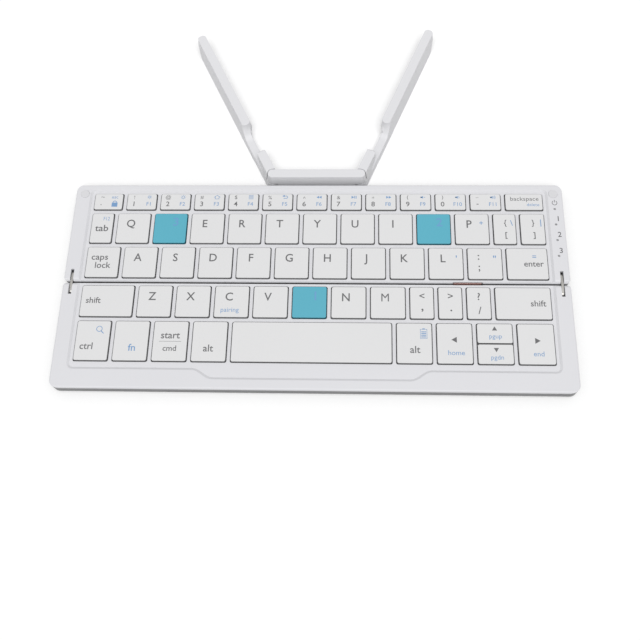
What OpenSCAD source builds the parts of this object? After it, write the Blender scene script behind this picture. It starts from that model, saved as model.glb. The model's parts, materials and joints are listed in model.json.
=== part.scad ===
// Folding keyboard in two halves, with its separate folding stand behind it.
// X runs along the rows, Y from the front edge to the rear, Z up from the desk.
// The keyboard's fold line lies on X before the whole is moved to the middle of its own outline.

/* [Case] */
// Width of the rim of the case on each side of the panel
rim_w = 8.3; // [8:0.1:12]
// Width of the rim of the rear half behind the number row
rear_rim_w = 4.2; // [4:0.1:6]
// Width of the strip of the front half before the space bar
front_strip_w = 12.45; // [12.4:0.05:14]
// Height of the closed shell of one half, without its feet
shell_h = 6.6; // [6.6:0.1:7.4]
// Thickness of the floor of the bottom covers
floor_t = 1; // [0.9:0.05:1.2]
// Thickness of the outer walls of the bottom covers
wall_t = 1.5; // [1:0.1:2]
// Thickness of the wall along the fold
fold_wall_t = 1.2; // [0.9:0.1:1.3]
// Thickness of the top frames
frame_t = 1.4; // [1.2:0.05:1.6]
// Depth of the recessed panel that holds the keys
panel_drop = 0.5; // [0.4:0.05:0.7]
// How far the recessed panel reaches past the block of keys on each side
panel_margin = 0.8; // [0.4:0.1:2]
// Radius of the four outer corners
outer_corner_r = 4.5; // [3:0.5:6]
// Radius of the corners beside the fold, seen from above
fold_corner_r = 2.5; // [1:0.5:3]
// Radius of the edges of the top
top_edge_r = 0.9; // [0.5:0.1:1.2]
// Radius of the edges of the underside
bottom_edge_r = 1; // [0.5:0.1:1.4]

/* [Keys] */
// Pitch of the letter keys
key_pitch = 19; // [18.8:0.05:19.1]
// Width of the rib of the frame between two keys
rib_w = 1.65; // [1.4:0.05:2]
// Gap between a key cap and its opening
cap_gap = 0.35; // [0.3:0.05:0.5]
// Height of a key cap
cap_h = 1.95; // [1.8:0.05:2.1]
// How far the key caps stand above the panel
cap_proud = 0.55; // [0.2:0.05:0.7]
// Radius of the upright corners of a key cap
cap_corner_r = 0.9; // [0.5:0.1:1.4]
// How far each side of a key cap leans in
cap_draft = 0.25; // [0.1:0.05:0.4]
// Bevel round the top of a key cap
cap_bevel = 0.25; // [0.1:0.05:0.35]
// Thickness of the walls and the roof of a key cap
cap_wall_t = 0.8; // [0.6:0.1:1]
// Travel of a key
key_travel = 1.5; // [1.2:0.1:1.5]
// Depth of the shallow row at the rear
number_row_d = 11.45; // [11:0.05:12]
// Depth of the first row in front of the fold
shift_row_d = 18.7; // [18.2:0.1:19]
// Rib of the frame between the fold line and the nearest row's cells
fold_margin = 1.05; // [1:0.05:1.2]
// Width of the first cell of the number row
tilde_w = 17; // [16:0.1:18]
// Width of the cell of the backspace key
backspace_w = 20.95; // [19:0.05:24]
// Width of the cell of the tab key
tab_w = 13.4; // [12:0.05:15]
// Width of the cell of the left bracket key
bracket_w = 13.35; // [12.5:0.05:14.5]
// Width of the cell of the caps lock key
caps_w = 18.85; // [17:0.05:21]
// Width of the cell of the enter key
enter_w = 22.15; // [20:0.05:25]
// Width of the cell of the left shift key
left_shift_w = 28.25; // [26:0.05:31]
// Width of the cell of the ctrl key
ctrl_w = 18.8; // [17:0.05:21]
// Width of the cells of the three punctuation keys
narrow_key_w = 13.65; // [13.2:0.05:14]
// Width of the space bar's cell
space_key_w = 78.8; // [76:0.2:80]
// Gap between the upper and the lower arrow key
arrow_gap = 0.5; // [0.4:0.1:0.8]

/* [Fold] */
// Gap between the two halves when the keyboard lies open
seam = 0.6; // [0.5:0.05:0.8]
// Distance of each hinge pin behind its fold face, and below the top
pivot_inset = 2.5; // [2.4:0.05:2.6]
// Radius of the shoulders that roll past each other
shoulder_r = 2; // [1.9:0.05:2.2]
// Distance of the hinge links from the case's sides
link_inset = 3.95; // [3.8:0.05:4.4]
// Thickness of a hinge link
link_t = 1.2; // [1:0.1:1.4]
// Gap beside a link in its slot
link_gap = 0.2; // [0.15:0.05:0.3]
// Half the height of a link at its ends
link_half_h = 1.6; // [1.4:0.05:1.6]
// Rise of the link's arched back over its ends
link_arch = 0.3; // [0.2:0.05:0.4]
// Reach of a link beyond its pins
link_tail = 3.2; // [2.8:0.1:3.3]
// Radius of a hinge pin
pin_r = 0.75; // [0.6:0.05:0.8]
// Running play of the pins, on the radius
pin_play = 0.05; // [0.03:0.01:0.08]
// Width of the flat cable across the fold
flex_w = 13.7; // [10:0.1:16]
// Place of the flat cable along the fold
flex_x = 75.2; // [60:0.2:90]
// Thickness of the flat cable
flex_t = 0.15; // [0.1:0.01:0.2]

/* [Inside] */
// Thickness of the steel plates under the keys
plate_t = 0.4; // [0.3:0.05:0.5]
// Radius of the bosses
boss_r = 1.6; // [1.2:0.1:2]
// Thickness of the sheet that carries the rubber domes
sheet_t = 0.2; // [0.15:0.05:0.25]
// Radius of a dome at its foot
dome_r = 2.6; // [2:0.1:3]
// Thickness of the circuit board
board_t = 0.6; // [0.5:0.1:0.8]
// Length of the battery
battery_w = 90; // [60:1:92]
// Width of the battery
battery_d = 8.2; // [7:0.1:8.4]
// Thickness of the battery
battery_h = 3.6; // [2.8:0.1:3.8]
// Width of the charging socket's shell
socket_w = 7.5; // [7:0.1:9]
// Height of the charging socket's shell
socket_h = 2.6; // [2.4:0.05:2.8]
// Distance of the charging socket from the case's left side
socket_inset = 22.9; // [20:0.1:27]
// Radius of the closing magnets
magnet_r = 2; // [1.5:0.1:2.2]
// Height of the closing magnets
magnet_h = 3; // [2:0.1:3.4]

/* [Feet and marks] */
// Height of the feet below the shell
foot_proud = 0.6; // [0.5:0.1:0.8]
// Depth of the feet's pockets
foot_pocket = 0.4; // [0.3:0.05:0.5]
// Width of the feet
foot_w = 4; // [3:0.2:5]
// Length of the long feet
foot_l = 16; // [10:1:20]
// Radius of the corner bumpers
bumper_r = 2.3; // [1.8:0.1:2.5]
// How far the corner bumpers stand above the top
bumper_proud = 0.3; // [0.25:0.05:0.4]
// Radius of the indicator lenses
lens_r = 0.55; // [0.4:0.05:0.7]
// Distance between two indicator lenses
lens_pitch = 8.64; // [8:0.02:9]

/* [Stand] */
// Height of the stand
stand_h = 10; // [9:0.5:12]
// Width of the stand's bars at their tops
stand_top_w = 4.7; // [4.4:0.1:5]
// Width of the stand's bars at the desk
stand_base_w = 7.9; // [7.4:0.1:8.2]
// Distance from one leg's pin to the other's
stand_pins_w = 45.4; // [40:0.2:50]
// Length of a leg from its pin to its tip
leg_l = 98.1; // [90:0.5:102]
// Angle of the left leg from straight back
leg_left_angle = 26.5; // [24:0.5:60]
// Angle of the right leg from straight back
leg_right_angle = 22.6; // [22.2:0.2:60]
// Angle at which a leg meets its stop
leg_stop_angle = 22; // [20:0.5:22]
// Height of a leg's eye under the bar
eye_h = 4.3; // [4:0.1:5]
// Gap between a leg and the bar
stand_gap = 0.25; // [0.2:0.05:0.4]
// Length of a leg's stub, from the pin to the rest
stub_l = 15.5; // [14:0.5:18]
// Where the ridge of a leg begins behind the rest
ridge_s = 33; // [30:0.5:36]
// Height of the floor of the rest
rest_z = 3.75; // [3.25:0.25:4]
// Radius of the scoop between the rest and the ridge
scoop_r = 7.4; // [7:0.1:9]
// Length of the slant under a leg's tip
tip_slant = 6.7; // [4:0.5:8]
// Radius of the corners of a leg's tip
tip_r = 2; // [1:0.1:2.2]
// Radius of the stand's pins
stand_pin_r = 1; // [0.8:0.1:1.2]
// Distance from the keyboard to the stand's pins
stand_back = 5.2; // [5:0.1:9]

/* [Hidden] */
$fn = 48;
eps = 0.01;          // overshoot of a cut past a face
over = 5;            // overshoot of a cut into open space
body_z = foot_proud;
top_z = body_z + shell_h;
frame_z = top_z - frame_t;
panel_z = top_z - panel_drop;
inner_z = body_z + floor_t;
fold_y = seam / 2;
edge_y = fold_margin + 2 * key_pitch + number_row_d + rear_rim_w;
half_d = edge_y - fold_y;
space_row_d = edge_y - fold_margin - shift_row_d - front_strip_w;
letters = 10;        // keys of the letter pitch across a row
key_block_w = caps_w + letters * key_pitch + enter_w;
panel_w = key_block_w + 2 * panel_margin;
case_w = panel_w + 2 * rim_w;
side_x = case_w / 2;
cavity_x = side_x - wall_t;
cavity_y0 = fold_y + fold_wall_t;
cavity_y1 = edge_y - wall_t;

// Rows of keys: the widths of their cells from left to right, and the rows' limits in Y.
function repeat(value, n) = [for (i = [1:n]) value];
function total(list, n) = n <= 0 ? 0 : list[n - 1] + total(list, n - 1);
numbers = 11;        // equal keys between the first one of the number row and backspace
number_key_w = (key_block_w - tilde_w - backspace_w) / numbers;
// A row's last cell takes what is left of the block.
function with_rest(list) = concat(list, [key_block_w - total(list, len(list))]);
row_cells = [
    [],
    with_rest(concat([tilde_w], repeat(number_key_w, numbers))),
    with_rest(concat([tab_w], repeat(key_pitch, letters), [bracket_w])),
    with_rest(concat([caps_w], repeat(key_pitch, letters))),
    with_rest(concat([left_shift_w], repeat(key_pitch, 7), repeat(narrow_key_w, 3))),
    with_rest(concat([ctrl_w], repeat(key_pitch, 3), [space_key_w], repeat(key_pitch, 3)))
];
home_row_y = fold_margin + key_pitch;
upper_row_y = home_row_y + key_pitch;
row_near = [0, upper_row_y, home_row_y, fold_margin, fold_margin, fold_margin + shift_row_d];
row_far = [0, upper_row_y + number_row_d, upper_row_y, home_row_y,
           fold_margin + shift_row_d, fold_margin + shift_row_d + space_row_d];
keys_far_rear = row_far[1] - rib_w / 2;
keys_far_front = row_far[5] - rib_w / 2;
arrow_cell = 7;      // the cell of the space bar's row that two keys share

// Every node of keys: its name, its row, its first cell, how many cells, and
// which part of a shared cell it fills (0 all of it, 1 the rear part, 2 the front part).
// The keys that choose a channel end in true, and are coloured.
KEY_NODES = [
    ["keys_number_row", 1, 0, 12, 0], ["key_backspace", 1, 12, 1, 0],
    ["key_tab", 2, 0, 1, 0], ["key_q", 2, 1, 1, 0], ["key_channel_3", 2, 2, 1, 0, true],
    ["keys_e_to_i", 2, 3, 6, 0], ["key_channel_2", 2, 9, 1, 0, true], ["key_p", 2, 10, 1, 0],
    ["key_left_bracket", 2, 11, 1, 0], ["key_right_bracket", 2, 12, 1, 0],
    ["key_caps_lock", 3, 0, 1, 0], ["keys_a_to_l", 3, 1, 9, 0],
    ["key_semicolon", 3, 10, 1, 0], ["key_enter", 3, 11, 1, 0],
    ["key_left_shift", 4, 0, 1, 0], ["key_z", 4, 1, 1, 0], ["key_x", 4, 2, 1, 0],
    ["key_c", 4, 3, 1, 0], ["key_v", 4, 4, 1, 0], ["key_channel_1", 4, 5, 1, 0, true],
    ["key_n", 4, 6, 1, 0], ["key_m", 4, 7, 1, 0], ["key_comma", 4, 8, 1, 0],
    ["key_period", 4, 9, 1, 0], ["key_slash", 4, 10, 1, 0], ["key_right_shift", 4, 11, 1, 0],
    ["key_ctrl", 5, 0, 1, 0], ["key_fn", 5, 1, 1, 0], ["key_start", 5, 2, 1, 0],
    ["key_left_alt", 5, 3, 1, 0], ["key_space", 5, 4, 1, 0], ["key_right_alt", 5, 5, 1, 0],
    ["key_left", 5, 6, 1, 0], ["key_up", 5, arrow_cell, 1, 1],
    ["key_down", 5, arrow_cell, 1, 2], ["key_right", 5, 8, 1, 0]
];

// Heights of the layers under the keys.
cap_top_z = panel_z + cap_proud;
cap_bottom_z = cap_top_z - cap_h;
cap_roof_z = cap_top_z - cap_wall_t;
press_room = 0.2;    // gap under a cap that is pressed right down
dome_z = cap_bottom_z - key_travel - press_room;
sheet_z = dome_z - sheet_t;
plate_z = sheet_z - plate_t;
dome_touch = 0.05;   // gap between a dome and its cap
dome_waist = 0.6;    // a dome's top radius as a share of its foot

// The fold.
pivot_y = fold_y + pivot_inset;
pivot_z = top_z - pivot_inset;
link_x = side_x - link_inset;
slot_w = link_t + 2 * link_gap;
slot_reach = 0.7;    // room past the end of a link
slot_y1 = pivot_y + link_tail + slot_reach;
slot_z = pivot_z - link_tail - 0.35;
block_wall = 2.4;    // solid wall round a slot
pin_reach = 1.4;     // how far a pin goes into the walls beside its slot
pin_end_gap = 0.15;
flex_gap = 0.5;      // how far the fold faces stand back at the flat cable
flex_side = 0.4;     // room beside the flat cable
flex_r = 0.55;       // radius of the cable's loop, at its middle
flex_tail = 1.3;     // reach of the cable behind the fold faces
flex_z = frame_z - 0.35;
flex_loop_z = flex_z - 2.3;

// The front panel widens in front of the space bar.
panel_side_y = keys_far_front + 3.1;
panel_middle_y = panel_side_y + 4.5;
panel_jog_out = panel_w / 2 - 59.8;
panel_jog_w = 9.8;
panel_corner_r = 2;
panel_rear_y = keys_far_rear + 1.45;
battery_y0 = keys_far_front + rib_w / 2 + 0.9;

// Where the small parts go.
boss_pitch = key_block_w / 2 - 70.5;
boss_x = [for (i = [-2:2]) i * boss_pitch];
socket_x = socket_inset - side_x;
board_low = [12.6 - side_x, cavity_y1 - 30.2];
board_high = [72.6 - side_x, cavity_y1 - 0.2];
// Each chip: how far it lies right of and behind the board's corner, its width and its depth.
chips = [[28, 7, 7, 7], [44, 9, 5, 5], [40, 21, 6, 4], [14, 11, 4, 6]];
chip_h = 0.7;
socket_l = 4.6;
socket_wall = 0.3;
socket_z = inner_z + 0.15;
socket_flange = 0.9;
lens_x = side_x - 4.5;
lens_first_y = edge_y - 13.9;
lens_flange_r = 1;
lens_flange_h = 0.6;
lens_play = 0.05;
bumper_x = side_x - 4.7;
bumper_y = edge_y - 5.3;
bumper_pocket = 0.3;
magnet_x = side_x - 5.1;
magnet_y = edge_y - 8.2;
magnet_ring = 0.8;
magnet_play = 0.1;
battery_rib_t = 0.8;
battery_play = 0.3;
foot_x = side_x - 26.6;
far_foot_y = edge_y - 7;
near_foot_y = 8;
small_foot_l = 8;

// The stand.
stand_y = edge_y + stand_back;
bar_end_z = eye_h + stand_gap;
tip_edge_h = 0.8;
stub_r = 1.5;        // rounds the end of the stub, seen from above
ledge_start = 6;
pin_head_r = 1.9;
pin_head_h = 0.9;
pin_head_z = 0.3;
pin_top_z = stand_h - 1.4;
eye_sink = 1.35;
stand_play = 0.05;
scoop_s = ridge_s - sqrt(pow(scoop_r, 2) - pow(rest_z + scoop_r - stand_h, 2));
// Half the width of the stand's section at a height.
function stand_half_w(z) = (stand_base_w + (stand_top_w - stand_base_w) * z / stand_h) / 2;

// The whole outline runs from the front edge to the further of the two tips.
function tip_reach(angle) =
    (leg_l - tip_r) * cos(angle) + (stand_top_w / 2 - tip_r) * sin(angle) + tip_r;
middle_y = (stand_y + tip_reach(min(leg_left_angle, leg_right_angle)) - edge_y) / 2;

white = [0.93, 0.93, 0.94];
key_white = [0.96, 0.96, 0.97];
teal = [0.27, 0.68, 0.76];
cover_grey = [0.74, 0.75, 0.77];
steel = [0.66, 0.66, 0.68];
rubber_grey = [0.6, 0.6, 0.62];

// ---------- shapes used by several parts

// A rounded rectangle with a radius for each corner, counted from low x and low y, anticlockwise.
module rounded_box(low, high, r) {
    polygon([[low.x + r[0], low.y], [high.x - r[1], low.y], [high.x, low.y + r[1]],
             [high.x, high.y - r[2]], [high.x - r[2], high.y], [low.x + r[3], high.y],
             [low.x, high.y - r[3]], [low.x, low.y + r[0]]]);
    translate([low.x + r[0], low.y + r[0]]) circle(r[0]);
    translate([high.x - r[1], low.y + r[1]]) circle(r[1]);
    translate([high.x - r[2], high.y - r[2]]) circle(r[2]);
    translate([low.x + r[3], high.y - r[3]]) circle(r[3]);
}

// The same shape as one outline of short straight steps, for the many small openings and caps.
function rounded_points(low, high, r, steps = 3) = [
    for (corner = [[high.x - r, high.y - r, 0], [low.x + r, high.y - r, 90],
                   [low.x + r, low.y + r, 180], [high.x - r, low.y + r, 270]])
        for (i = [0:steps])
            let (a = corner[2] + 90 * i / steps)
            [corner.x + r * cos(a), corner.y + r * sin(a)]
];

// A long shape with round ends, along X.
module pill(l, w) {
    square([l - w, w], center = true);
    for (s = [-1, 1]) translate([s * (l - w) / 2, 0]) circle(w / 2);
}

module box(low, high) { translate(low) cube(high - low); }

// Puts a view drawn across Y and Z, or across X and Z, where it belongs.
module along_x(x0, x1) { translate([x0, 0, 0]) rotate([90, 0, 90]) linear_extrude(x1 - x0) children(); }
module along_y(y0, y1) { translate([0, y1, 0]) rotate([90, 0, 0]) linear_extrude(y1 - y0) children(); }

module both_sides() { for (s = [0, 1]) mirror([s, 0, 0]) children(); }

// The two halves are drawn as the rear one; the front one is its mirror image.
module half_of(front) { mirror([0, front ? 1 : 0, 0]) children(); }

module placed() { translate([0, -middle_y, 0]) children(); }

// ---------- the shells of the two halves

// The outer form of one half: its plan, its side view and its front view in one.
module half_form() {
    intersection() {
        translate([0, 0, body_z]) linear_extrude(shell_h)
            rounded_box([-side_x, fold_y], [side_x, edge_y],
                        [fold_corner_r, fold_corner_r, outer_corner_r, outer_corner_r]);
        along_x(-side_x - 1, side_x + 1)
            rounded_box([fold_y, body_z], [edge_y, top_z],
                        [bottom_edge_r, bottom_edge_r, top_edge_r, shoulder_r]);
        along_y(-1, edge_y + 1)
            rounded_box([-side_x, body_z], [side_x, top_z],
                        [bottom_edge_r, bottom_edge_r, top_edge_r, top_edge_r]);
    }
}

// The slots of the hinge links, open at the top and at the fold.
module link_slots() {
    both_sides() box([link_x - slot_w / 2, fold_y - 1, slot_z], [link_x + slot_w / 2, slot_y1, top_z + over]);
}

// Room for the flat cable's loop between the fold faces.
module flex_room() {
    box([flex_x - flex_w / 2 - flex_side, fold_y - 1, inner_z],
        [flex_x + flex_w / 2 + flex_side, fold_y + flex_gap, top_z + over]);
}

// The soft step where the panel widens, as points from the outside inwards.
jog_steps = 8;
function panel_jog(side) = [for (i = [0:jog_steps])
    [side * (panel_jog_out - panel_jog_w * i / jog_steps),
     panel_side_y + (panel_middle_y - panel_side_y) * (1 - cos(180 * i / jog_steps)) / 2]];

// The low ground of the top frame that the keys stand in.
module panel_outline(front) {
    if (front)
        polygon(concat(
            [[-panel_w / 2, fold_y - 1], [-panel_w / 2, panel_side_y - panel_corner_r]],
            [for (i = [1:3]) [-panel_w / 2 + panel_corner_r * (1 - cos(30 * i)),
                              panel_side_y - panel_corner_r * (1 - sin(30 * i))]],
            panel_jog(-1), [for (i = [jog_steps:-1:0]) panel_jog(1)[i]],
            [for (i = [3:-1:1]) [panel_w / 2 - panel_corner_r * (1 - cos(30 * i)),
                                 panel_side_y - panel_corner_r * (1 - sin(30 * i))]],
            [[panel_w / 2, panel_side_y - panel_corner_r], [panel_w / 2, fold_y - 1]]));
    else
        rounded_box([-panel_w / 2, fold_y - 1], [panel_w / 2, panel_rear_y],
                    [0.1, 0.1, panel_corner_r, panel_corner_r]);
}

function cell_x(row, i) = total(row_cells[row], i) - key_block_w / 2;

module key_openings(rows) {
    for (row = rows)
        for (i = [0:len(row_cells[row]) - 1])
            translate([0, 0, frame_z - 1]) linear_extrude(frame_t + over)
                polygon(rounded_points(
                    [cell_x(row, i) + rib_w / 2, row_near[row] + rib_w / 2],
                    [cell_x(row, i + 1) - rib_w / 2, row_far[row] - rib_w / 2], cap_corner_r));
}

module lens_places() {
    for (i = [0:3]) translate([lens_x, lens_first_y - i * lens_pitch, 0]) children();
}

module top_frame(front) {
    difference() {
        intersection() {
            half_form();
            box([-side_x - 1, 0, frame_z], [side_x + 1, edge_y + 1, top_z + 1]);
        }
        translate([0, 0, panel_z]) linear_extrude(over) panel_outline(front);
        key_openings(front ? [4, 5] : [1, 2, 3]);
        link_slots();
        flex_room();
        if (!front) {
            translate([0, 0, frame_z - 1]) lens_places() cylinder(h = over, r = lens_r + lens_play);
            both_sides() translate([bumper_x, bumper_y, top_z - bumper_pocket]) cylinder(h = over, r = bumper_r);
        }
    }
}

module bosses(far_y, grow, z0, z1) {
    for (x = boss_x, y = [home_row_y, upper_row_y])
        if (y < far_y - 4) translate([x, y, z0]) cylinder(h = z1 - z0, r = boss_r + grow);
}

module foot_places() {
    both_sides() {
        translate([foot_x, far_foot_y, 0]) children(0);
        translate([foot_x, near_foot_y, 0]) children(1);
    }
}

module feet(grow, z0, z1) {
    translate([0, 0, z0]) foot_places() {
        linear_extrude(z1 - z0) pill(foot_l + 2 * grow, foot_w + 2 * grow);
        linear_extrude(z1 - z0) pill(small_foot_l + 2 * grow, foot_w + 2 * grow);
    }
}

module socket_cut(grow, y1) {
    translate([socket_x, 0, socket_z + socket_h / 2]) along_y(edge_y - wall_t - 1, y1)
        pill(socket_w + 2 * grow, socket_h + 2 * grow);
}

module bottom_cover(front) {
    magnet_z = inner_z + magnet_h / 2;
    difference() {
        intersection() {
            half_form();
            box([-side_x - 1, 0, body_z - 1], [side_x + 1, edge_y + 1, frame_z]);
        }
        // the hollow, which leaves a solid block round each link
        translate([0, 0, inner_z]) linear_extrude(over * 2) difference() {
            rounded_box([-cavity_x, cavity_y0], [cavity_x, cavity_y1],
                        [1, 1, outer_corner_r - wall_t, outer_corner_r - wall_t]);
            both_sides() translate([link_x - slot_w / 2 - block_wall, 0])
                square([over * 2, slot_y1 + block_wall]);
        }
        link_slots();
        flex_room();
        box([flex_x - flex_w / 2 - flex_side / 2, fold_y, flex_z - flex_t / 2],
            [flex_x + flex_w / 2 + flex_side / 2, cavity_y0 + 1, frame_z + 1]);
        both_sides() translate([link_x - slot_w / 2 - pin_reach, pivot_y, pivot_z]) rotate([0, 90, 0])
            cylinder(h = slot_w + 2 * pin_reach, r = pin_r + pin_play, $fn = 32);
        feet(0, body_z - 1, body_z + foot_pocket);
        if (!front) socket_cut(0.25, edge_y + 1);
    }
    bosses(front ? keys_far_front : keys_far_rear, 0, inner_z - eps, plate_z);
    both_sides() translate([magnet_x, magnet_y, inner_z - eps]) difference() {
        cylinder(h = magnet_z - inner_z, r = magnet_r + magnet_play + magnet_ring);
        cylinder(h = over, r = magnet_r + magnet_play);
    }
    rib_x = battery_w / 2 + battery_play;
    if (front) both_sides() box([rib_x, battery_y0 + 1, inner_z - eps],
                                [rib_x + battery_rib_t, battery_y0 + battery_d, inner_z + battery_h / 2]);
}

// ---------- inside the halves

module switch_plate(front) {
    far_y = front ? keys_far_front : keys_far_rear;
    difference() {
        translate([0, 0, plate_z]) linear_extrude(plate_t)
            polygon(rounded_points([-key_block_w / 2, cavity_y0 + 0.3], [key_block_w / 2, far_y + 0.4], 1));
        // windows that make the plate lighter, one under each wide stretch between two bosses
        for (i = [0:3], y = [home_row_y, upper_row_y])
            if (y < far_y - 4) translate([(boss_x[i] + boss_x[i + 1]) / 2, y, plate_z - 1])
                linear_extrude(over) pill(24, 2.4);
        if (!front) box([socket_x - socket_w / 2 - 1.2, far_y - 1, plate_z - 1],
                        [socket_x + socket_w / 2 + 1.2, far_y + over, plate_z + over]);
    }
}

module dome_sheet(front) {
    far_y = front ? keys_far_front : keys_far_rear;
    rows = front ? [4, 5] : [1, 2, 3];
    difference() {
        translate([0, 0, sheet_z]) linear_extrude(sheet_t)
            polygon(rounded_points([-key_block_w / 2, cavity_y0 + 0.3], [key_block_w / 2, far_y + 0.4], 1));
        if (!front) box([socket_x - socket_w / 2 - 1.2, far_y - 1, plate_z - 1],
                        [socket_x + socket_w / 2 + 1.2, far_y + over, plate_z + over]);
    }
    for (row = rows)
        for (i = [0:len(row_cells[row]) - 1]) {
            x = (cell_x(row, i) + cell_x(row, i + 1)) / 2;
            y = (row_near[row] + row_far[row]) / 2;
            shared = row == 5 && i == arrow_cell;
            for (s = shared ? [-1, 1] : [0])
                translate([x, y + s * (row_far[row] - row_near[row]) / 4, dome_z - eps])
                    cylinder(h = cap_roof_z - dome_touch - dome_z + eps, r1 = dome_r, r2 = dome_r * dome_waist,
                             $fn = 24);
        }
}

module main_board() {
    color([0.1, 0.32, 0.2]) placed() {
        difference() {
            box([board_low.x, board_low.y, inner_z], [board_high.x, board_high.y, inner_z + board_t]);
            bosses(keys_far_rear, 0.3, inner_z - 1, inner_z + over);
            box([socket_x - socket_w / 2 - 0.2, edge_y - socket_l - wall_t, inner_z - 1],
                [socket_x + socket_w / 2 + 0.2, edge_y, inner_z + over]);
            translate([-magnet_x, magnet_y, inner_z - 1])
                cylinder(h = over, r = magnet_r + magnet_play + magnet_ring + 0.3);
        }
        for (c = chips)
            translate([board_low.x + c[0], board_low.y + c[1], inner_z + board_t - eps])
                linear_extrude(chip_h + eps) square([c[2], c[3]], center = true);
    }
}

// The charging socket: a drawn steel shell with its tongue, and two flanges that sit on the board.
module charge_socket() {
    y0 = edge_y - 0.1 - socket_l;
    color(steel) placed() {
        difference() {
            translate([socket_x, 0, socket_z + socket_h / 2]) along_y(y0, edge_y - 0.1)
                pill(socket_w, socket_h);
            translate([socket_x, 0, socket_z + socket_h / 2]) along_y(y0 + 0.8, edge_y + 1)
                pill(socket_w - 2 * socket_wall, socket_h - 2 * socket_wall);
        }
        box([socket_x - socket_w / 4, y0 + 0.5, socket_z + socket_h / 2 - 0.25],
            [socket_x + socket_w / 4, edge_y - 1, socket_z + socket_h / 2 + 0.25]);
        for (s = [-1, 1]) translate([socket_x + s * (socket_w / 2 + socket_flange / 2 - 0.2),
                                     y0 + 1.1, inner_z + board_t + 0.15])
            cube([socket_flange + 0.4, 2, 0.3], center = true);
    }
}

module battery() {
    color([0.72, 0.73, 0.76]) placed() half_of(true)
        translate([0, battery_y0, inner_z]) linear_extrude(battery_h)
            polygon(rounded_points([-battery_w / 2, 0], [battery_w / 2, battery_d], 1));
}

module magnets(front) {
    color(steel) placed() half_of(front)
        both_sides() translate([magnet_x, magnet_y, inner_z]) cylinder(h = magnet_h, r = magnet_r);
}

module shell_feet(front) {
    color(rubber_grey) placed() half_of(front) feet(-0.05, 0, body_z + foot_pocket);
}

module indicator_lenses() {
    color([0.85, 0.86, 0.88]) placed() lens_places() {
        translate([0, 0, frame_z - lens_flange_h]) cylinder(h = lens_flange_h, r = lens_flange_r, $fn = 24);
        translate([0, 0, frame_z - eps]) cylinder(h = frame_t - 0.1, r = lens_r, $fn = 24);
    }
}

module corner_bumpers() {
    color([0.9, 0.9, 0.91]) placed()
        both_sides() translate([bumper_x, bumper_y, top_z - bumper_pocket]) {
            cylinder(h = bumper_pocket + bumper_proud - 0.2, r = bumper_r - 0.05);
            translate([0, 0, bumper_pocket + bumper_proud - 0.2 - eps])
                cylinder(h = 0.2 + eps, r1 = bumper_r - 0.05, r2 = bumper_r - 0.3);
        }
}

// ---------- the keys

module cap_view(w) {
    polygon([[-w / 2, 0], [w / 2, 0], [w / 2 - cap_draft, cap_h - cap_bevel],
             [w / 2 - cap_draft - cap_bevel, cap_h], [-w / 2 + cap_draft + cap_bevel, cap_h],
             [-w / 2 + cap_draft, cap_h - cap_bevel]]);
}

// A hollow key cap with leaning sides and a bevelled top, round the middle of its own cell.
module key_cap(w, d) {
    difference() {
        intersection() {
            linear_extrude(cap_h) polygon(rounded_points([-w / 2, -d / 2], [w / 2, d / 2], cap_corner_r));
            along_x(-w, w) cap_view(d);
            along_y(-d, d) cap_view(w);
        }
        box([-w / 2 + cap_wall_t + cap_draft, -d / 2 + cap_wall_t + cap_draft, -1],
            [w / 2 - cap_wall_t - cap_draft, d / 2 - cap_wall_t - cap_draft, cap_h - cap_wall_t]);
    }
}

module keys(entry) {
    row = entry[1];
    margin = rib_w / 2 + cap_gap;
    middle = (row_near[row] + row_far[row]) / 2;
    near = entry[4] == 2 ? middle + arrow_gap / 2 : row_near[row] + margin;
    far = entry[4] == 1 ? middle - arrow_gap / 2 : row_far[row] - margin;
    for (i = [entry[2]:entry[2] + entry[3] - 1]) {
        x0 = cell_x(row, i) + margin;
        x1 = cell_x(row, i + 1) - margin;
        translate([(x0 + x1) / 2, (near + far) / 2, cap_bottom_z]) key_cap(x1 - x0, far - near);
    }
}

module key_node(entry) {
    color(len(entry) > 5 ? teal : key_white) placed() half_of(entry[1] > 3) keys(entry);
}

// ---------- the fold

module link_view() {
    end_y = pivot_y + link_tail - link_half_h;
    arch_r = (pow(end_y, 2) + pow(link_arch, 2)) / (2 * link_arch);
    for (s = [-1, 1]) translate([s * end_y, pivot_z]) circle(link_half_h);
    intersection() {
        translate([-end_y, pivot_z - link_half_h]) square([2 * end_y, 2 * link_half_h + link_arch]);
        translate([0, pivot_z + link_half_h + link_arch - arch_r]) circle(arch_r, $fn = 200);
    }
}

module hinge_links() {
    color(steel) placed() both_sides() difference() {
        along_x(link_x - link_t / 2, link_x + link_t / 2) link_view();
        for (s = [-1, 1]) translate([link_x - link_t, s * pivot_y, pivot_z]) rotate([0, 90, 0])
            cylinder(h = 2 * link_t, r = pin_r, $fn = 32);
    }
}

module hinge_pins() {
    reach = slot_w / 2 + pin_reach - pin_end_gap;
    color([0.55, 0.55, 0.57]) placed() both_sides()
        for (s = [-1, 1]) translate([link_x - reach, s * pivot_y, pivot_z]) rotate([0, 90, 0])
            cylinder(h = 2 * reach, r = pin_r, $fn = 32);
}

// The flat cable hangs in a loop between the fold faces and enters each half through a slit.
module flex_view() {
    half_t = flex_t / 2;
    reach = fold_y + flex_tail;
    function loop(r, from, to) = [for (i = [0:12]) let (a = from + (to - from) * i / 12)
                                  [r * cos(a), flex_loop_z + r * sin(a)]];
    polygon(concat(
        [[-reach, flex_z - half_t], [-flex_r - half_t, flex_z - half_t]],
        loop(flex_r + half_t, 180, 360),
        [[flex_r + half_t, flex_z - half_t], [reach, flex_z - half_t], [reach, flex_z + half_t],
         [flex_r - half_t, flex_z + half_t]],
        loop(flex_r - half_t, 360, 180),
        [[-flex_r + half_t, flex_z + half_t], [-reach, flex_z + half_t]]));
}

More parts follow.
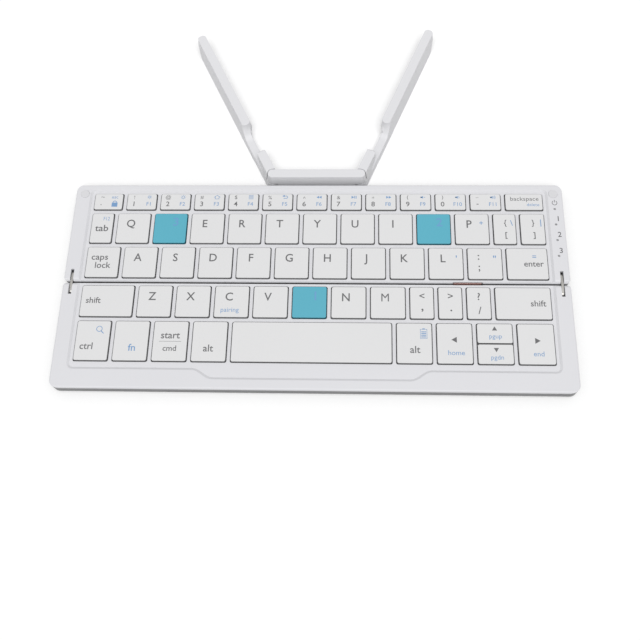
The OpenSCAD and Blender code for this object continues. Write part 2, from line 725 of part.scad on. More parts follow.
module flex_cable() {
    color([0.48, 0.24, 0.16]) placed() along_x(flex_x - flex_w / 2, flex_x + flex_w / 2) flex_view();
}

// ---------- the stand

module stand_section(grow) {
    polygon([[-stand_base_w / 2 - grow, 0], [stand_base_w / 2 + grow, 0],
             [stand_top_w / 2 + grow, stand_h], [-stand_top_w / 2 - grow, stand_h]]);
}

// The upright cone that rounds off the stand's section round a pin.
module stand_end(grow, z0, z1) {
    translate([0, 0, z0]) cylinder(h = z1 - z0, r1 = stand_half_w(z0) + grow, r2 = stand_half_w(z1) + grow);
}

module stand_bar() {
    color(white) placed() translate([0, stand_y, 0]) difference() {
        union() {
            along_x(-stand_pins_w / 2, stand_pins_w / 2) stand_section(0);
            both_sides() translate([stand_pins_w / 2, 0, 0]) stand_end(0, 0, stand_h);
        }
        // below, each end makes room for the eye of its leg, as far in as the leg's stop
        both_sides() translate([-stand_pins_w / 2, 0, -1]) linear_extrude(bar_end_z + 1) {
            circle(stand_base_w / 2 + stand_gap);
            rotate(leg_stop_angle) translate([-stand_base_w / 2 - stand_gap, 0])
                square([stand_base_w + 2 * stand_gap, 2 * stand_base_w]);
        }
        both_sides() translate([stand_pins_w / 2, 0, 0]) cylinder(h = pin_top_z, r = stand_pin_r, $fn = 32);
    }
}

// The side of a leg: eye and stub at the pin, the scooped rest, and the ridge to the slanted tip.
module leg_side_view() {
    difference() {
        polygon([[-stand_base_w, 0], [leg_l - tip_slant, 0], [leg_l, stand_h - tip_edge_h],
                 [leg_l, stand_h], [-stand_base_w, stand_h]]);
        translate([scoop_s, rest_z + scoop_r]) circle(scoop_r, $fn = 64);
        translate([stub_l, rest_z]) square([scoop_s - stub_l, stand_h]);
        translate([stub_l, stand_h]) rotate(45) square(1.4, center = true);
    }
}

// A leg along +Y from its pin, drawn as the left one.
module leg() {
    difference() {
        intersection() {
            union() {
                along_y(0, leg_l) stand_section(0);
                stand_end(0, 0, stand_h);
            }
            along_x(-stand_base_w, stand_base_w) leg_side_view();
            linear_extrude(stand_h) rounded_box([-stand_base_w, -stand_base_w], [stand_base_w, leg_l], [1, 1, 1, 1]);
            union() {
                box([-stand_base_w, -stand_base_w, 0], [stand_base_w, leg_l - tip_r, stand_h]);
                linear_extrude(stand_h) rounded_box([-stand_top_w / 2, 0], [stand_top_w / 2, leg_l],
                                                    [1, 1, tip_r, tip_r]);
            }
        }
        // above the eye, the leg ends round the bar and stops against it
        stand_end(stand_gap, eye_h, stand_h + eps);
        rotate([0, 0, -leg_stop_angle]) intersection() {
            along_x(0, 3 * stand_base_w) stand_section(stand_gap);
            box([0, -stand_base_w, eye_h], [3 * stand_base_w, stand_base_w, stand_h + 1]);
        }
        // the stub narrows towards the rest, ends in two round corners and leaves a ledge
        for (s = [0, 1]) mirror([s, 0, 0]) translate([0, 0, rest_z]) linear_extrude(stand_h)
            polygon(concat(
                [[stand_half_w(rest_z) + 0.1, ledge_start]],
                [for (a = [0:18:90])
                    [stand_top_w / 2 - stub_r * (1 - cos(a)), stub_l - stub_r * (1 - sin(a))]],
                [[stand_top_w / 2 - stub_r, stub_l + 1], [stand_base_w, stub_l + 1],
                 [stand_base_w, ledge_start]]));
        translate([0, 0, -1]) cylinder(h = eye_h + 2, r = stand_pin_r + stand_play, $fn = 32);
        translate([0, 0, -1]) cylinder(h = eye_sink + 1, r = pin_head_r + 0.2, $fn = 32);
    }
}

module stand_leg_left() {
    color(white) placed() translate([-stand_pins_w / 2, stand_y, 0]) rotate([0, 0, leg_left_angle]) leg();
}

module stand_leg_right() {
    color(white) placed() translate([stand_pins_w / 2, stand_y, 0]) rotate([0, 0, -leg_right_angle])
        mirror([1, 0, 0]) leg();
}

module stand_pins() {
    color(steel) placed() both_sides() translate([stand_pins_w / 2, stand_y, pin_head_z]) {
        cylinder(h = pin_head_h, r = pin_head_r, $fn = 32);
        cylinder(h = pin_top_z - pin_head_z, r = stand_pin_r, $fn = 32);
    }
}

for (entry = KEY_NODES) key_node(entry);
color(white) placed() top_frame(false);  // rear_top_frame
color(cover_grey) placed() bottom_cover(false);  // rear_bottom_cover
color(steel) placed() switch_plate(false);  // rear_switch_plate
color(rubber_grey) placed() dome_sheet(false);  // rear_dome_sheet
main_board();
charge_socket();
indicator_lenses();
corner_bumpers();
magnets(false);  // rear_magnets
shell_feet(false);  // rear_feet
hinge_links();
hinge_pins();
flex_cable();
color(white) placed() half_of(true) top_frame(true);  // front_top_frame
color(cover_grey) placed() half_of(true) bottom_cover(true);  // front_bottom_cover
color(steel) placed() half_of(true) switch_plate(true);  // front_switch_plate
color(rubber_grey) placed() half_of(true) dome_sheet(true);  // front_dome_sheet
battery();
magnets(true);  // front_magnets
shell_feet(true);  // front_feet
stand_bar();
stand_leg_left();
stand_leg_right();
stand_pins();
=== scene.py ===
import json
import math
import bmesh
import bpy
from mathutils import Matrix, Vector

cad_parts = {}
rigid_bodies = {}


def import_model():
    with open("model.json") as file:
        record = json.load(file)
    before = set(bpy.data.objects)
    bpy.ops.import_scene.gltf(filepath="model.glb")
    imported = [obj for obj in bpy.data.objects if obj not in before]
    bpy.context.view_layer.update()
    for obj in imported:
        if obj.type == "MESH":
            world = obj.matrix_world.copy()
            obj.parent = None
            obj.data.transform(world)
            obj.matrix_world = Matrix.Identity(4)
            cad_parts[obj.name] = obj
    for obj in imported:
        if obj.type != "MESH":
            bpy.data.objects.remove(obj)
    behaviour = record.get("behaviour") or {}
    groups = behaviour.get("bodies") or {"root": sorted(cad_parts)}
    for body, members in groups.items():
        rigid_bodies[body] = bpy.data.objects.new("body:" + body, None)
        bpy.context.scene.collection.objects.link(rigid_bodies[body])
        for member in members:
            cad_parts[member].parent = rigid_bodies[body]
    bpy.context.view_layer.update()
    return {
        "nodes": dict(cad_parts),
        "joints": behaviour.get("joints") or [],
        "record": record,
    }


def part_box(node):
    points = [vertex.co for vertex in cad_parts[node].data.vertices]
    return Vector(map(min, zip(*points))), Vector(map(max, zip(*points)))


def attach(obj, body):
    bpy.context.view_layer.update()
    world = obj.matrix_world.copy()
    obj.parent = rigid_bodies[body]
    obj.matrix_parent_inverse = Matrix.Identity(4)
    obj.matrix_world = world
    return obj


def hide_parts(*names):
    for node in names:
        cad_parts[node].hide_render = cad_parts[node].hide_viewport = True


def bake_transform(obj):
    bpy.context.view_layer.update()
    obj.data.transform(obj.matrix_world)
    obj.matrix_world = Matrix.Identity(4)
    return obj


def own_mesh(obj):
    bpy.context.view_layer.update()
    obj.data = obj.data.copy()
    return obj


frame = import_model()
mm = 0.001
record = frame["record"]
jointAt = {j["name"]: j for j in frame["joints"]}
jointOf = {j["child"]: j for j in frame["joints"]}
bodyOf = {node: body for body, nodes in record["behaviour"]["bodies"].items() for node in nodes}
foldPlace = -48.0275  # the fold's place from front to rear, in mm
print("frame loaded:", len(frame["nodes"]), "nodes")


def addObject(name, data):
    made = bpy.data.objects.new(name, data)
    bpy.context.scene.collection.objects.link(made)
    return made


# the camera, set by the gaps between the keys: lengths in mm, angles in radians, clip in metres
cameraSet = dict(target=(3.6, -67.7275, 7.25), pitch=1.2057594, yaw=-0.123802997, roll=-0.108258374,
                 distance=380.005, lens=44.4375, sensor=36, clip=(0.01, 20))


def makeCamera(s):
    pitch, yaw, roll = s["pitch"], s["yaw"], s["roll"]
    ahead = Vector((math.sin(yaw) * math.cos(pitch), math.cos(yaw) * math.cos(pitch), -math.sin(pitch)))
    right = Vector((math.cos(yaw), -math.sin(yaw), 0))
    up = right.cross(ahead)
    rolledRight = right * math.cos(roll) + up * math.sin(roll)
    rolledUp = up * math.cos(roll) - right * math.sin(roll)
    data = bpy.data.cameras.new("camera")
    data.lens = s["lens"]
    data.sensor_width = s["sensor"]
    data.clip_start, data.clip_end = s["clip"]
    camera = addObject("camera", data)
    turn = Matrix((rolledRight, rolledUp, -ahead)).transposed().to_4x4()
    camera.matrix_world = Matrix.Translation((Vector(s["target"]) - ahead * s["distance"]) * mm) @ turn
    bpy.context.scene.camera = camera


makeCamera(cameraSet)


# shader maths: a wire is one output of a node, and an expression on wires adds Math nodes
class Wire:
    def __init__(self, finish, socket):
        self.finish = finish
        self.socket = socket

    def combine(self, operation, first, second):
        return self.finish.add("Math", dict(operation=operation), {0: first, 1: second})

    def __add__(self, other):
        return self.combine("ADD", self, other)

    def __radd__(self, other):
        return self.combine("ADD", other, self)

    def __sub__(self, other):
        return self.combine("SUBTRACT", self, other)

    def __rsub__(self, other):
        return self.combine("SUBTRACT", other, self)

    def __mul__(self, other):
        return self.combine("MULTIPLY", self, other)

    def __rmul__(self, other):
        return self.combine("MULTIPLY", other, self)

    def __gt__(self, other):
        return self.combine("GREATER_THAN", self, other)

    def __lt__(self, other):
        return self.combine("LESS_THAN", self, other)

    def __or__(self, other):
        return self.combine("MAXIMUM", self, other)

    def __mod__(self, other):
        return self.combine("FLOORED_MODULO", self, other)


# the nodes of one material, or of the world
class Finish:
    def __init__(self, owner):
        owner.use_nodes = True
        self.owner = owner
        self.tree = owner.node_tree
        self.tree.nodes.clear()

    def add(self, kind, settings, sockets, output=0):
        node = self.tree.nodes.new("ShaderNode" + kind)
        node.location = (len(self.tree.nodes) * 180, 0)
        for key, value in settings.items():
            setattr(node, key, value)
        for key, value in sockets.items():
            socket = node.inputs[key]
            if isinstance(value, Wire):
                self.tree.links.new(value.socket, socket)
            elif socket.type == "RGBA":
                socket.default_value = (*value, 1)
            else:
                socket.default_value = value
        return Wire(self, node.outputs[output]) if node.outputs else None

    def place(self):
        return self.add("TexCoord", {}, {}, "Object")

    def axis(self, name):
        return self.add("SeparateXYZ", {}, {0: self.place()}, name)

    def noise(self, scale, detail=2.0, rough=0.5, stretch=None, warp=0.0):
        where = self.place()
        if stretch:
            where = self.add("Mapping", {}, {0: where, "Scale": stretch})
        return self.add("TexNoise", {}, {"Vector": where, "Scale": scale, "Detail": detail,
                                         "Roughness": rough, "Distortion": warp})

    def mix(self, share, first, second):
        return self.add("Mix", dict(data_type="RGBA"), {0: share, 6: first, 7: second}, 2)

    def bump(self, height, strength, depth):
        return self.add("Bump", {}, {"Strength": strength, "Distance": depth, "Height": height})

    # 1 where the eye sees the surface, straight or in a shine, and 0 where it only lights others
    def seen(self):
        straight = self.add("LightPath", {}, {}, "Is Camera Ray")
        shine = self.add("LightPath", {}, {}, "Is Glossy Ray")
        return straight | shine | self.add("LightPath", {}, {}, "Is Transmission Ray")

    def shade(self, **sockets):
        names = dict(colour="Base Color", rough="Roughness", metal="Metallic", normal="Normal",
                     coat="Coat Weight", coatRough="Coat Roughness", sheen="Sheen Weight",
                     specular="Specular IOR Level")
        shader = self.add("BsdfPrincipled", {}, {names[k]: v for k, v in sockets.items()})
        self.add("OutputMaterial", {}, {"Surface": shader})
        return self.owner


def newFinish(name):
    return Finish(bpy.data.materials.new(name))


def shadeOf(colour, factor):
    return tuple(min(1.0, c * factor) for c in colour)


# moulded plastic: a spark-eroded grain, a slow drift of tone and a little variation of gloss
def mouldedPlastic(name, colour, rough=0.42, grain=5200, relief=0.000012, drift=0.02, spread=0.08):
    f = newFinish(name)
    fine = f.noise(grain, detail=3.0, rough=0.6)
    slow = f.noise(24)
    gloss = f.noise(160)
    tone = f.mix(slow, shadeOf(colour, 1 - drift), shadeOf(colour, 1 + drift))
    return f.shade(colour=tone, rough=rough + (gloss - 0.5) * spread + (fine - 0.5) * 0.06,
                   normal=f.bump(fine, strength=0.35, depth=relief), specular=0.45)


# the marks of the brush run along the axis whose scale is low
def brushedSteel(name, colour, stretch, rough=0.28, marks=0.14, dark=0.75):
    f = newFinish(name)
    lines = f.noise(1.0, detail=4.0, rough=0.65, stretch=stretch)
    smudge = f.noise(420)
    tone = f.mix(lines, shadeOf(colour, dark), shadeOf(colour, 1.05))
    return f.shade(colour=tone, rough=rough + (lines - 0.5) * marks + (smudge - 0.5) * 0.12, metal=1.0,
                   normal=f.bump(lines, strength=0.3, depth=0.00001))


# rubber: a dull grain with specks of dust
def softRubber(name, colour, rough=0.72, grain=3400, dustFrom=0.64):
    f = newFinish(name)
    fine = f.noise(grain, detail=4.0, rough=0.6)
    slow = f.noise(90)
    dust = f.noise(700, detail=3.0, rough=0.7)
    tone = f.mix(slow, shadeOf(colour, 0.94), shadeOf(colour, 1.05))
    dusty = f.mix((dust > dustFrom) * 0.25, tone, shadeOf(colour, 1.3))
    return f.shade(colour=dusty, rough=rough + (fine - 0.5) * 0.14,
                   normal=f.bump(fine, strength=0.5, depth=0.00002), sheen=0.15)


def printedInk(name, colour):
    f = newFinish(name)
    speckle = f.noise(5200, detail=3.0, rough=0.7)
    tone = f.mix(speckle, shadeOf(colour, 0.9), shadeOf(colour, 1.1))
    return f.shade(colour=tone, rough=0.55 + (speckle - 0.5) * 0.1,
                   normal=f.bump(speckle, strength=0.2, depth=0.000006))


# the flat cable: copper tracks that show through their film
def copperFilm(name, film, copper, trackPitch=0.0009, trackShare=0.45):
    f = newFinish(name)
    track = ((f.axis("X") + 1.0) % trackPitch) > trackPitch * trackShare
    speckle = f.noise(2600, detail=3.0)
    tone = f.mix(track, film, copper)
    worn = f.mix(speckle * 0.3, tone, shadeOf(film, 1.25))
    return f.shade(colour=worn, rough=0.32 + (speckle - 0.5) * 0.12,
                   normal=f.bump(track + speckle * 0.2, strength=0.25, depth=0.00003),
                   coat=0.5, coatRough=0.15)


# the board: solder mask with tracks in patches, and black chips above it
def circuitBoard(name, mask, track, chip, chipZ, pitchX=0.0013, pitchY=0.0031, line=0.0003):
    f = newFinish(name)
    lineX = ((f.axis("X") + 1.0) % pitchX) < line
    lineY = ((f.axis("Y") + 1.0) % pitchY) < line
    patch = f.noise(140, detail=1.0) > 0.5
    lit = (lineX * patch) | (lineY * (1 - patch))
    above = f.axis("Z") > chipZ
    speckle = f.noise(3000, detail=3.0)
    tone = f.mix(above, f.mix(lit, mask, track), chip)
    return f.shade(colour=tone, rough=0.34 + above * 0.2 + (speckle - 0.5) * 0.1,
                   normal=f.bump(lit + speckle * 0.1, strength=0.2, depth=0.00002))


def foilPouch(name, colour):
    f = newFinish(name)
    crinkle = f.noise(260, detail=4.0, rough=0.6, warp=1.2)
    fine = f.noise(2400, detail=3.0)
    # the tone follows the crinkles' height: painted shade in their hollows and a painted highlight on their
    # crests
    tone = f.mix(crinkle, shadeOf(colour, 0.86), shadeOf(colour, 1.08))
    return f.shade(colour=tone, rough=0.34 + (fine - 0.5) * 0.16, metal=0.9,
                   normal=f.bump(crinkle + fine * 0.15, strength=0.4, depth=0.00012))


def lightPipe(name, colour):
    f = newFinish(name)
    haze = f.noise(1900, detail=3.0)
    tone = f.mix(haze, shadeOf(colour, 0.8), colour)
    return f.shade(colour=tone, rough=0.2 + haze * 0.15, normal=f.bump(haze, strength=0.2, depth=0.00001),
                   coat=0.6, coatRough=0.1)


keyGrain = dict(rough=0.46, grain=6400, relief=0.000009)
finishes = dict(
    frameWhite=mouldedPlastic("frameWhite", (0.70, 0.70, 0.725)),
    # the cover's own grey, which also serves as painted shade on the frames' outer walls
    coverGrey=mouldedPlastic("coverGrey", (0.2, 0.2, 0.205), rough=0.5, drift=0.03),
    keyWhite=mouldedPlastic("keyWhite", (0.715, 0.715, 0.72), drift=0.012, **keyGrain),
    keyTeal=mouldedPlastic("keyTeal", (0.095, 0.405, 0.52), drift=0.03, **keyGrain),
    # the dark greys of the caps' side walls are painted shade of the gaps around the keys
    keySide=mouldedPlastic("keySide", (0.27, 0.27, 0.275), rough=0.5),
    keyTealSide=mouldedPlastic("keyTealSide", (0.03, 0.19, 0.25), rough=0.5),
    standWhite=mouldedPlastic("standWhite", (0.725, 0.725, 0.745), rough=0.4),
    inkGrey=printedInk("inkGrey", (0.125, 0.125, 0.13)),
    inkBlue=printedInk("inkBlue", (0.17, 0.31, 0.53)),
    inkNumber=printedInk("inkNumber", (0.13, 0.33, 0.56)),
    plateSteel=brushedSteel("plateSteel", (0.5, 0.5, 0.52), (160, 5200, 5200)),
    linkSteel=brushedSteel("linkSteel", (0.44, 0.43, 0.41), (5200, 260, 5200), rough=0.34),
    socketSteel=brushedSteel("socketSteel", (0.6, 0.6, 0.62), (260, 4200, 4200), rough=0.25),
    magnetNickel=brushedSteel("magnetNickel", (0.7, 0.69, 0.66), (1500, 1500, 900), rough=0.16, marks=0.08,
                              dark=0.9),
    footRubber=softRubber("footRubber", (0.3, 0.3, 0.31)),
    bumperRubber=softRubber("bumperRubber", (0.66, 0.66, 0.68), rough=0.6),
    domeRubber=softRubber("domeRubber", (0.5, 0.5, 0.5), rough=0.6),
    flexBrown=copperFilm("flexBrown", (0.34, 0.19, 0.175), (0.42, 0.26, 0.23)),
    boardGreen=circuitBoard("boardGreen", (0.012, 0.09, 0.045), (0.04, 0.2, 0.1), (0.025, 0.025, 0.028),
                            chipZ=2.25 * mm),
    batteryPouch=foilPouch("batteryPouch", (0.62, 0.63, 0.66)),
    lensPlastic=lightPipe("lensPlastic", (0.3, 0.3, 0.31)),
)
print("finishes made:", len(finishes))


# makes a finished mesh a piece: its materials, the body it rides on and the nodes it stands for
def newPiece(name, bm, finish, body, nodes=(), extra=(), flatAngle=32):
    mesh = bpy.data.meshes.new(name)
    bm.to_mesh(mesh)
    bm.free()
    for key in (finish, *extra):
        mesh.materials.append(finishes[key])
    mesh.shade_smooth()
    mesh.set_sharp_from_angle(angle=math.radians(flatAngle))
    piece = addObject(name, mesh)
    weighted = piece.modifiers.new("weighted", "WEIGHTED_NORMAL")
    weighted.keep_sharp = True
    if body:
        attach(piece, body)
    if nodes:
        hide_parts(*nodes)
    return piece


# adds a closed part to a mesh that holds several of them
def addPart(bm, part):
    holder = bpy.data.meshes.new("part")
    part.to_mesh(holder)
    part.free()
    bm.from_mesh(holder)
    bpy.data.meshes.remove(holder)


# from here on lengths are in mm and angles in degrees, but the floor's size is in metres
copySet = dict(merge=0.002, flat=0.6, sharp=28, weld=0.001, sliver=0.0005)


# a solid's mesh is loose triangles, so a copy of it is merged first
def nodeCopy(node, s):
    bm = bmesh.new()
    bm.from_mesh(frame["nodes"][node].data)
    bmesh.ops.remove_doubles(bm, verts=bm.verts, dist=s["merge"] * mm)
    bmesh.ops.dissolve_limit(bm, angle_limit=math.radians(s["flat"]), verts=bm.verts, edges=bm.edges,
                             delimit={"NORMAL"})
    return bm


def bevelled(bm, width, segments, s):
    sharp = math.radians(s["sharp"])
    edges = [e for e in bm.edges if e.is_manifold and e.calc_face_angle(0) > sharp]
    bmesh.ops.bevel(bm, geom=edges, offset=width * mm, offset_type="OFFSET", affect="EDGES",
                    segments=segments, profile=0.5, clamp_overlap=True, material=-1)
    bmesh.ops.remove_doubles(bm, verts=bm.verts, dist=s["weld"] * mm)
    bmesh.ops.dissolve_degenerate(bm, edges=bm.edges, dist=s["sliver"] * mm)
    return bm


# the panel lies a little deeper than on the solid, inside a soft slope, and the fold faces stand closer
panelSet = dict(panelZ=6.7, topZ=7.2, drop=0.3, outward=0.8, inward=0.25, near=0.01, foldFace=0.3, lip=0.12,
                foldClear=1.0, upright=0.1, leastTurn=0.3)
foldY = sum(jointAt[name]["pos_m"][1] for name in ("fold_rear", "fold_front")) / 2


def shapeFrame(bm, s):
    near = s["near"] * mm
    foot = (s["panelZ"] - s["drop"]) * mm
    for v in bm.verts:
        if abs(v.co.z - s["panelZ"] * mm) < near:
            v.co.z -= s["drop"] * mm
        if abs(abs(v.co.y - foldY) - s["foldFace"] * mm) < near:
            v.co.y -= math.copysign(s["lip"] * mm, v.co.y - foldY)
    bm.normal_update()
    steps = []
    for f in bm.faces:
        heights = [v.co.z for v in f.verts]
        whole = abs(min(heights) - foot) < near and abs(max(heights) - s["topZ"] * mm) < near
        clear = abs(f.calc_center_median().y - foldY) > s["foldClear"] * mm
        if whole and clear and abs(f.normal.z) < s["upright"]:
            steps.append(f)
    moves = []
    for v in {v for f in steps for v in f.verts}:
        normals = [f.normal for f in v.link_faces if f in steps]
        middle = sum(normals, Vector()) / len(normals)
        width = -s["outward"] if v.co.z > foot + near else s["inward"]
        moves.append((v, middle * (width * mm / max(s["leastTurn"], middle.length_squared))))
    for v, move in moves:
        v.co += move


wallSet = dict(band=6.0, edge=0.5, tall=0.6, upright=0.4, facing=0.2, corner=0.05)


# the outer walls of a frame take the dark grey of the cover below them, as painted shade on the white frame
def shadeOuterWalls(bm, node, s):
    low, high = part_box(node)
    outer = high.y if node.startswith("rear") else low.y
    middle = Vector(((low.x + high.x) / 2, (low.y + high.y) / 2, 0))
    for f in bm.faces:
        spot = f.calc_center_median()
        heights = [v.co.z for v in f.verts]
        flat = Vector((f.normal.x, f.normal.y, 0))
        wall = abs(f.normal.z) < s["upright"] and max(heights) - min(heights) > s["tall"] * mm
        nearSide = abs(spot.x) > high.x - s["band"] * mm
        nearEnd = abs(spot.y - outer) < s["band"] * mm
        turned = (nearSide and abs(flat.x) > s["facing"]) or (nearEnd and abs(flat.y) > s["facing"])
        atEdge = abs(spot.x) > high.x - s["edge"] * mm or abs(spot.y - outer) < s["edge"] * mm
        atCorner = nearSide and nearEnd and min(abs(flat.x), abs(flat.y)) > s["corner"]
        if wall and turned and flat.dot(spot - middle) > 0 and (atEdge or atCorner):
            f.material_index = 1


# a leg of the stand, along y from its pin: its rest is narrower on the inner side, and its ridge ends in
# a round tongue
legSet = dict(angles=dict(left=26.5, right=-22.6), waist=2.9, waistFrom=15.6, waistFull=16.8, waistTo=33.0,
              below=5.0, slope=7.0, tongue=2.0, tongueFrom=25.0, ridge=33.0, restZ=3.75, topZ=10.0,
              halfTop=2.35, halfBase=3.95, near=0.02, stations=13, stationStep=1.2,
              lines=(-1.6, -0.8, 0, 0.8, 1.6))


def shapeLeg(bm, s, side):
    inner = 1 if side == "left" else -1
    pin = Vector(jointAt["leg_" + side]["pos_m"])
    turn = Matrix.Rotation(math.radians(-s["angles"][side]), 4, "Z")
    toLeg = turn @ Matrix.Translation(-pin)
    bmesh.ops.transform(bm, matrix=toLeg, verts=bm.verts)
    stations = [s["waistFrom"], s["waistFull"]]
    stations += [s["waistTo"] + s["below"] - s["stationStep"] * i for i in range(s["stations"])]
    cuts = [((0, y, 0), (0, 1, 0)) for y in stations] + [((x, 0, 0), (1, 0, 0)) for x in s["lines"]]
    for place, normal in cuts:
        bmesh.ops.bisect_plane(bm, geom=list(bm.verts) + list(bm.edges) + list(bm.faces),
                               dist=copySet["weld"] * mm, plane_co=Vector(place) * mm, plane_no=normal)
    for v in bm.verts:
        x, y, z = v.co / mm
        aboveRest = z > s["restZ"] + s["near"]
        half = s["halfBase"] + (s["halfTop"] - s["halfBase"]) * z / s["topZ"]
        end = s["waistTo"] + s["below"] * max(0, 1 - z / s["topZ"])
        if s["waistFrom"] < y < end and not (aboveRest and y < s["waistFull"]):
            rise = min(1.0, (y - s["waistFrom"]) / (s["waistFull"] - s["waistFrom"]))
            fall = min(1.0, (end - y) / s["slope"])
            cut = s["waist"] * rise * fall * fall * (3 - 2 * fall)
            v.co.x -= inner * cut * (inner * x + half) / (2 * half) * mm
        if aboveRest and s["tongueFrom"] < y < s["ridge"] + s["below"]:
            high = (z - s["restZ"]) / (s["topZ"] - s["restZ"])
            fade = min(1.0, 1 - (y - s["ridge"]) / s["below"])
            v.co.y += s["tongue"] * high * (x / s["halfTop"]) ** 2 * fade * mm
    bmesh.ops.transform(bm, matrix=toLeg.inverted(), verts=bm.verts)


# pieces that are softened copies of their solids
softened = dict(
    rear_top_frame=dict(piece="rearTopFrame", finish="frameWhite", width=0.14, segments=2),
    front_top_frame=dict(piece="frontTopFrame", finish="frameWhite", width=0.14, segments=2),
    rear_bottom_cover=dict(piece="rearBottomCover", finish="coverGrey", width=0.12, segments=2),
    front_bottom_cover=dict(piece="frontBottomCover", finish="coverGrey", width=0.12, segments=2),
    stand_bar=dict(piece="standBar", finish="standWhite", width=0.35, segments=3),
    stand_leg_left=dict(piece="standLegLeft", finish="standWhite", width=0.35, segments=3),
    stand_leg_right=dict(piece="standLegRight", finish="standWhite", width=0.35, segments=3),
    stand_pins=dict(piece="standPins", finish="linkSteel", width=0.12, segments=2),
    hinge_links=dict(piece="hingeLinks", finish="linkSteel", width=0.14, segments=2),
    hinge_pins=dict(piece="hingePins", finish="linkSteel", width=0.1, segments=2),
    rear_feet=dict(piece="rearFeet", finish="footRubber", width=0.2, segments=2),
    front_feet=dict(piece="frontFeet", finish="footRubber", width=0.2, segments=2),
    corner_bumpers=dict(piece="cornerBumpers", finish="bumperRubber", width=0.12, segments=3),
    indicator_lenses=dict(piece="indicatorLenses", finish="lensPlastic", width=0.08, segments=2),
    charge_socket=dict(piece="chargeSocket", finish="socketSteel", width=0.05, segments=2),
    battery=dict(piece="batteryPack", finish="batteryPouch", width=0.4, segments=3),
    rear_magnets=dict(piece="rearMagnets", finish="magnetNickel", width=0.15, segments=2),
    front_magnets=dict(piece="frontMagnets", finish="magnetNickel", width=0.15, segments=2),
)
for node, s in softened.items():
    isFrame = node.endswith("top_frame")
    bm = nodeCopy(node, copySet)
    if isFrame:
        shapeFrame(bm, panelSet)
    if node.startswith("stand_leg"):
        shapeLeg(bm, legSet, node.split("_")[-1])
    bevelled(bm, s["width"], s["segments"], copySet)
    if isFrame:
        shadeOuterWalls(bm, node, wallSet)
    # a frame's second material, the cover's grey, is painted shade on its outer walls
    newPiece(s["piece"], bm, s["finish"], bodyOf[node], [node],
             extra=["coverGrey"] if isFrame else [])
print("softened pieces made:", len(softened))

# the inner sheets of metal and the board keep their solids
kept = dict(rear_switch_plate="plateSteel", front_switch_plate="plateSteel", main_board="boardGreen")
for node, finish in kept.items():
    mesh = frame["nodes"][node].data
    mesh.materials.clear()
    mesh.materials.append(finishes[finish])


# key caps: the keys that share a node stand in a row of cells, whose widths are in groupCells
capSet = dict(corner=0.9, cornerSteps=4, draft=0.1, rim=0.2, rimSteps=3, sideBelow=0.35, wall=0.8, roof=0.8,
              roofEdge=0.05, margin=1.175, near=0.001)
cellSet = dict(first=17.0, number=17.55, letter=19.0)
groupCells = dict(keys_number_row=[cellSet["first"]] + [cellSet["number"]] * 11,
                  keys_e_to_i=[cellSet["letter"]] * 6, keys_a_to_l=[cellSet["letter"]] * 9)


def capBoxes(node):
    low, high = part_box(node)
    if node not in groupCells:
        return [(low, high)]
    margin = capSet["margin"] * mm
    x = low.x - margin
    boxes = []
    for width in groupCells[node]:
        left, right = x + margin, x + width * mm - margin
        boxes.append((Vector((left, low.y, low.z)), Vector((right, high.y, high.z))))
        x += width * mm
    return boxes


def addCap(bm, low, high, s):
    near = s["near"] * mm
    size = high - low
    middle = (high + low) / 2
    made = bmesh.ops.create_cube(bm, size=1)["verts"]
    bmesh.ops.scale(bm, vec=size, verts=made)
    bmesh.ops.translate(bm, vec=middle, verts=made)
    upright = [e for e in bm.edges if abs(e.verts[0].co.z - e.verts[1].co.z) > size.z / 2]
    bmesh.ops.bevel(bm, geom=upright, offset=s["corner"] * mm, offset_type="OFFSET", affect="EDGES",
                    segments=s["cornerSteps"], profile=0.5, material=-1)
    top = [v for v in bm.verts if v.co.z > high.z - near]
    lean = 2 * s["draft"] * mm
    bmesh.ops.scale(bm, vec=((size.x - lean) / size.x, (size.y - lean) / size.y, 1), verts=top,
                    space=Matrix.Translation(-middle))
    roof = next(f for f in bm.faces if all(v.co.z > high.z - near for v in f.verts))
    bmesh.ops.bevel(bm, geom=list(roof.edges), offset=s["rim"] * mm, offset_type="OFFSET", affect="EDGES",
                    segments=s["rimSteps"], profile=0.5, material=-1)
    base = next(f for f in bm.faces if all(v.co.z < low.z + near for v in f.verts))
    bmesh.ops.inset_region(bm, faces=[base], thickness=s["wall"] * mm, depth=0)
    bmesh.ops.inset_region(bm, faces=[base], thickness=s["roofEdge"] * mm, depth=-(size.z - s["roof"] * mm))
    bm.normal_update()
    # the steep side faces take the second material, a dark grey that is painted shade of the gaps around the
    # keys
    for f in bm.faces:
        f.material_index = int(abs(f.normal.z) < s["sideBelow"])


# legends: each is a text or an icon, with its height in mm (or the icon's scale), its place on the cap, from
# 0 at the left and the front to 1 at the right and the rear, its ink and, for a text, how wide it is set
letterSet = dict(size=4.1, u=0.42, v=0.66, wide=0.96)


def word(text, size, u, v, ink="inkGrey", wide=1.0):
    return dict(text=text, size=size, u=u, v=v, ink=ink, wide=wide)


def icon(name, u, v, ink="inkBlue", size=1.0):
    return dict(icon=name, size=size, u=u, v=v, ink=ink)


def letter(text):
    return [word(text, **letterSet)]


def numberKey(shifted, digit, label, picture):
    return [word(shifted, 2.0, 0.24, 0.77), word(digit, 2.6, 0.24, 0.36, wide=1.05),
            icon(picture, 0.75, 0.79, size=1.3), word(label, 2.1, 0.74, 0.36, "inkBlue")]


